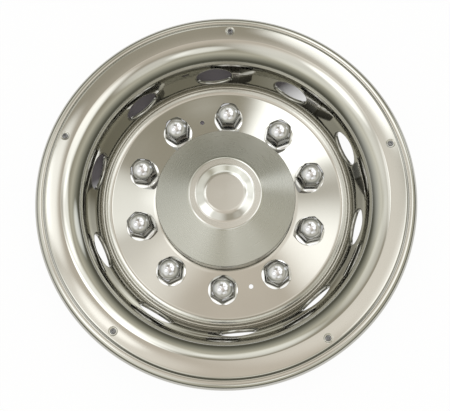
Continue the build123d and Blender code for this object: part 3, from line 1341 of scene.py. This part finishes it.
@dataclass
class ClipSet:
    """The blind rivets in the flange's dimples and the spring clips that they hold.

    The pit that the rivet's pin left is a list of a radius and a height over the dimple's floor.
    """

    count: int = 5
    rivet_radius: float = 264.48
    flange_height: float = 78.653
    tilt: float = 2.0
    dimple: float = 1.0
    sheet: float = 1.2
    head_radius: float = 4.5
    head_height: float = 1.4
    head_edge: float = 0.35
    head_rows: int = 8
    pit_radius: float = 2.1
    pit: Pairs = ((0.5, -0.45), (1.2, -0.48), (1.6, -0.5), (1.75, -0.3), (1.8, 0.9), (1.95, 1.32))
    seat_radius: float = 4.3
    seat_rises: tuple[float, float] = (0.12, 0.01)
    shank_radius: float = 2.4
    tail_radius: float = 2.35
    tail_swell: float = 1.25
    tail_half: float = 0.8
    tail_turn: float = 80.0
    tail_rows: int = 9
    tail_end: tuple[float, float] = (1.6, 0.5)
    rivet_step: float = 7.5
    clip_sheet: float = 1.0
    clip_width: float = 26.0
    clip_bend: float = 2.2
    clip_corner: float = 3.0
    clip_end_rows: tuple[float, ...] = (0.02, 0.3, 0.9, 1.6, 2.4, 3.2)
    clip_end_length: float = 3.6
    clip_steps: tuple[float, float] = (9.0, 2.0)
    toe: float = 7.5
    heel: float = 8.5
    leg: float = 17.0
    kick: float = 42.0
    kick_length: float = 8.0

    def build(self, rivet_finish: Metal, clip_finish: Metal) -> list[bpy.types.Object]:
        """Makes the rivets and the clips where they sit.

        Args:
            rivet_finish: metal of the rivets.
            clip_finish: metal of the clips.

        Returns:
            The pieces.
        """
        kinds = (
            (self.rivet(), "blind_rivet", "clip_rivet", "rivets", rivet_finish.material()),
            (self.clip(), "spring_clip", "rim_clip", "clips", clip_finish.material()),
        )
        pieces: list[bpy.types.Object] = []
        tilt = math.radians(self.tilt)
        for number in range(1, self.count + 1):
            bearing = FULL_TURN / self.count * (number - 1)
            outward = compass(bearing, 1.0, 0.0)
            along = math.cos(tilt) * outward + math.sin(tilt) * UP
            normal = math.cos(tilt) * UP - math.sin(tilt) * outward
            axes = np.stack([along, np.cross(normal, along), normal])
            origin = compass(bearing, self.rivet_radius, self.flange_height)
            for surface, name, node, slot, material in kinds:
                placed = surface.moved(axes, origin)
                pieces.append(placed.piece(f"{name}_{number}", f"{node}_{number}", slot, material))
        return pieces

    def rivet(self) -> Surface:
        """A blind rivet turned about its axis: a low dome with the pin's pit, a shank and an upset tail.

        Returns:
            The skin.
        """
        low = -self.dimple
        tail = low - self.sheet - self.clip_sheet
        swell = np.radians(np.linspace(90, 0, self.head_rows))
        belly = np.radians(np.linspace(self.tail_turn, -self.tail_turn, self.tail_rows))
        pit_radii, pit_heights = np.array(self.pit).T
        dome_radii = self.pit_radius + (self.head_radius - self.pit_radius) * np.cos(swell)
        dome_heights = low + self.head_edge + (self.head_height - self.head_edge) * np.sin(swell)
        seat_radii = (self.head_radius, self.seat_radius, self.shank_radius, self.shank_radius)
        seat_heights = (low + self.seat_rises[0], low + self.seat_rises[1], low, tail)
        tail_radii = self.tail_radius + self.tail_swell * np.cos(belly)
        tail_heights = tail - self.tail_half + self.tail_half * np.sin(belly)
        radius, height = stacked(
            [
                (pit_radii, low + pit_heights),
                (dome_radii, dome_heights),
                (seat_radii, seat_heights),
                (tail_radii, tail_heights),
                (self.tail_end, np.full(2, tail - 2 * self.tail_half)),
            ]
        )
        angle = np.radians(np.arange(0, FULL_TURN, self.rivet_step))
        skin = Surface.lathe(spun(angle, radius[:, None], height[:, None]), -1.0)
        return skin.capped(len(angle), (height[0] * UP, UP), (height[-1] * UP, -UP))

    def clip(self) -> Surface:
        """A spring clip: a rounded strip carried along its bent line, with rounded corners at both ends.

        The strip's edge is a rounded rectangle (w, d) across the line, and a point is the line's point plus
        d to its left, at w along the rim.

        Returns:
            The skin.
        """
        steps = (
            run(self.toe + self.heel),
            corner(90, self.clip_bend),
            run(self.leg),
            corner(self.kick, self.clip_bend),
            run(self.kick_length),
            corner(-2 * self.kick, self.clip_bend),
            run(self.kick_length),
        )
        track = Section((self.toe, -self.dimple - self.sheet), 180.0, steps).trace(*self.clip_steps)
        total, ends = track.distance[-1], np.array(self.clip_end_rows)
        middle = (track.distance > self.clip_end_length) & (track.distance < total - self.clip_end_length)
        rows = np.concatenate([ends, track.distance[middle], total - ends[::-1]])
        x, z, heading = (column[:, None] for column in track.at(rows))
        missing = np.clip(self.clip_corner - np.minimum(rows, total - rows), 0, self.clip_corner)
        half_width = self.clip_width / 2 - self.clip_corner + np.sqrt(self.clip_corner**2 - missing**2)
        nose = self.clip_sheet / 2
        turn = np.radians(np.linspace(-90, 90, NOSE_ROWS))
        right = half_width[:, None] - nose * (1 - np.cos(turn))
        lift = np.broadcast_to(nose + nose * np.sin(turn), right.shape)
        across = np.concatenate([right, -right[:, ::-1]], axis=1)
        lift = np.concatenate([lift, lift[:, ::-1]], axis=1)
        points = np.stack([x - np.sin(heading) * lift, across, z + np.cos(heading) * lift], axis=-1)
        start = (points[0].mean(axis=0), np.array([1.0, 0.0, 0.0]))
        end = (points[-1].mean(axis=0), -UP)
        return Surface.lathe(points, 1.0).capped(points.shape[1], start, end)


@dataclass(frozen=True)
class Glow:
    """A soft patch of light in the sky: its middle, the angles where it is full and ends, its strength."""

    bearing: float
    elevation: float
    full: float
    end: float
    strength: float


@dataclass
class Studio:
    """A pale floor, a soft warm sky with a few brighter patches, and the camera."""

    camera_place: tuple[float, float, float] = (28.5, -236.3, 1018.8)
    camera_aim: tuple[float, float, float] = (-1.4, -5.0, 0.0)
    camera_roll: float = 1.886
    focal_pixels: float = 639.7
    image_width: float = 450.0
    sensor_width: float = 36.0
    clip_range: tuple[float, float] = (0.01, 60.0)
    floor_drop: float = 0.3
    floor_step: float = 3.0
    floor_radii: tuple[float, ...] = (400.0, 1500.0, 9000.0)
    floor_white: tuple[float, float, float, float] = (0.9, 0.9, 0.9, 1.0)
    shown_white: tuple[float, float, float, float] = (1.0, 1.0, 1.0, 1.0)
    white_share: float = 0.95
    # Painted shade and painted light under the wheel: a round pad, dark towards one side and white towards
    # the other, where the dish's shadow falls.
    shade_pad_radii: tuple[float, ...] = (0.5, 150.0)
    shade_pad_radius: float = 258.0
    shade_pad_bearing: float = 150.0
    shade_pad_range: tuple[float, float] = (-137.0, -70.0)
    shade_pad_dark: Colour = (0.2, 0.185, 0.205)
    shade_pad_light: Colour = (0.9, 0.9, 0.92)
    sky: tuple[tuple[float, Colour], ...] = (
        (0.0, (1.0, 1.0, 1.0)),
        (0.055, (0.96, 0.96, 0.96)),
        (0.08, (0.16, 0.16, 0.13)),
        (0.2, (0.14, 0.14, 0.11)),
        (0.4, (0.42, 0.42, 0.36)),
        (0.6, (0.82, 0.8, 0.69)),
        (0.8, (0.5, 0.47, 0.38)),
        (0.93, (0.58, 0.54, 0.46)),
        (1.0, (0.99, 0.91, 0.82)),
    )
    glow_tint: Colour = (0.95, 0.99, 1.05)
    glows: tuple[Glow, ...] = (
        Glow(28.0, 55.0, 4.0, 16.0, 1.2),
        Glow(272.0, 61.0, 8.0, 22.0, 0.55),
        Glow(84.0, 66.0, 4.0, 16.0, 1.5),
        Glow(33.0, 76.0, 3.0, 12.0, 0.45),
        Glow(19.0, 63.5, 5.0, 9.0, 1.3),
        Glow(316.0, 71.0, 2.5, 6.0, 1.2),
        Glow(302.0, 66.5, 3.0, 7.0, 0.6),
        Glow(223.0, 57.0, 8.0, 26.0, 0.75),
        Glow(284.0, 80.0, 2.0, 8.0, 0.4),
        Glow(55.0, 55.0, 3.0, 12.0, 1.2),
        Glow(166.0, 55.0, 3.0, 12.0, 0.95),
        Glow(60.0, 20.0, 3.0, 12.0, 1.0),
        Glow(12.0, 48.0, 3.0, 12.0, 0.85),
        Glow(348.0, 48.0, 3.0, 12.0, 0.85),
        Glow(272.0, 34.0, 14.0, 34.0, 0.3),
        Glow(138.0, 55.0, 4.0, 16.0, 0.6),
        Glow(312.0, 48.0, 4.0, 16.0, 0.5),
        Glow(252.0, 65.0, 5.0, 11.0, 0.9),
        Glow(305.0, 79.5, 1.5, 3.5, 0.9),
    )

    def build(self) -> None:
        """Makes the floor, the sky and the camera.

        The floor is wide and white. Under the wheel it is a round pad of painted shade and painted light,
        grey at one side and white at the other.
        """
        white, grey = self.floor_paint("studio_white", False), self.floor_paint("painted_shade_paint", True)
        self.rings("studio_floor", (self.shade_pad_radius, *self.floor_radii), white)
        self.rings("painted_shade_pad", (*self.shade_pad_radii, self.shade_pad_radius), grey)
        self.heaven()
        self.camera()
        bpy.context.scene.view_settings.view_transform = "Standard"

    def rings(self, name: str, radii: tuple[float, ...], paint: bpy.types.Material) -> None:
        """Makes a flat ring of floor just under the part.

        Args:
            name: its name.
            radii: radii of its circles.
            paint: its material.
        """
        across, along = np.meshgrid(np.arange(0, FULL_TURN, self.floor_step), np.array(radii))
        points = compass(across, along, np.full_like(along, -self.floor_drop))
        surface = Surface.joined([Surface.grid(points, np.broadcast_to(UP, points.shape), True)])
        floor = surface.linked(name, paint)

    def floor_paint(self, name: str, under: bool) -> bpy.types.Material:
        """Paint that shows white to the eye and in the metal, with part of its shading kept for the shadow.

        Under the wheel, the colour and the share of plain white both fall to grey towards one side: painted
        shade under the dish, with painted light on the other side.

        Args:
            name: name of the paint.
            under: whether it lies under the wheel.

        Returns:
            The material.
        """
        paint = bpy.data.materials.new(name)
        paint.use_nodes = True
        nodes = Nodes(paint.node_tree)
        nodes.tree.nodes.clear()
        rays = nodes.add("ShaderNodeLightPath", {}).outputs
        glossy = nodes.math("MAXIMUM", rays["Is Camera Ray"], rays["Is Glossy Ray"])
        seen = nodes.math("MAXIMUM", glossy, rays["Is Transmission Ray"])
        share = nodes.math("MULTIPLY", seen, self.white_share)
        colour: Feed = self.floor_white
        if under:
            # Painted shade: the pad is grey towards one side and white, with painted light, towards the
            # other.
            side = self.painted_shade_share(nodes)
            share = nodes.math("MULTIPLY", share, side)
            colour = nodes.ramp(side, ((0.0, self.shade_pad_dark), (1.0, self.shade_pad_light)))
        matt = nodes.add("ShaderNodeBsdfDiffuse", {"Color": colour}).outputs["BSDF"]
        light = {"Color": self.shown_white, "Strength": 1.0}
        shown = nodes.add("ShaderNodeEmission", light).outputs["Emission"]
        mix = nodes.add("ShaderNodeMixShader", {"Fac": share, 1: matt, 2: shown}).outputs["Shader"]
        nodes.add("ShaderNodeOutputMaterial", {"Surface": mix})
        return paint

    def painted_shade_share(self, nodes: Nodes) -> Socket:
        """Share of painted light that grows from 0 to 1 along the pad's bearing, between two distances from
        the axis; where it is low, the pad shows painted shade.

        Args:
            nodes: nodes of the paint.

        Returns:
            The share.
        """
        place = nodes.add("ShaderNodeTexCoord", {}).outputs["Object"]
        along = nodes.measure("DOT_PRODUCT", place, compass(self.shade_pad_bearing, 1.0, 0.0).tolist())
        low, high = self.shade_pad_range
        return nodes.ranged(along, (low * MM, high * MM), (0.0, 1.0))

    def heaven(self) -> None:
        """Lights the part with a sky that brightens towards its top, plus the soft patches.

        Each patch adds its strength times a smooth step of the cosine between its middle and the direction.
        """
        world = bpy.data.worlds.new("studio_sky")
        bpy.context.scene.world = world
        world.use_nodes = True
        nodes = Nodes(world.node_tree)
        direction = nodes.add("ShaderNodeTexCoord", {}).outputs["Generated"]
        light = nodes.ramp(nodes.parts(direction)[2], self.sky)
        for glow in self.glows:
            level = math.radians(glow.elevation)
            middle = compass(glow.bearing, math.cos(level), math.sin(level))
            cosine = nodes.measure("DOT_PRODUCT", direction, middle.tolist())
            ends = (math.cos(math.radians(glow.end)), math.cos(math.radians(glow.full)))
            patch = nodes.ranged(cosine, ends, (0.0, glow.strength), interpolation_type="SMOOTHSTEP")
            light = nodes.vector("MULTIPLY_ADD", patch, self.glow_tint, light)
        nodes.feed(nodes.tree.nodes["Background"], {"Color": light, "Strength": 1.0})

    def camera(self) -> None:
        """Stands the camera where the photograph was taken from, turned about its own axis by the roll."""
        place, aim = Vector(self.camera_place) * MM, Vector(self.camera_aim) * MM
        ahead = (aim - place).normalized()
        right = ahead.cross(Vector((0, 1, 0))).normalized()
        up = right.cross(ahead)
        turn = Matrix.Rotation(math.radians(self.camera_roll), 3, ahead)
        right, up = turn.inverted() @ right, turn.inverted() @ up
        lens = bpy.data.cameras.new("photo_camera")
        lens.sensor_fit = "HORIZONTAL"
        lens.sensor_width = self.sensor_width
        lens.lens = self.focal_pixels / self.image_width * self.sensor_width
        lens.clip_start, lens.clip_end = self.clip_range
        camera = bpy.data.objects.new("photo_camera", lens)
        axes = Matrix((right, up, -ahead)).transposed().to_4x4()
        camera.matrix_world = Matrix.Translation(place) @ axes
        bpy.context.scene.collection.objects.link(camera)
        bpy.context.scene.camera = camera


def main() -> None:
    """Builds each sub-assembly, then the studio, and reports the pieces."""
    logging.basicConfig(level=logging.INFO, format="%(name)s %(message)s")
    dish = Dish()
    dish.build(POLISHED_STEEL)
    HubCap().build(CAP_STEEL)
    NutCovers().build(dish.face_height, dish.bolt_radius, COVER_CHROME)
    ClipSet().build(RIVET_ALLOY, CLIP_STEEL)
    Studio().build()


if __name__ == "__main__":
    main()
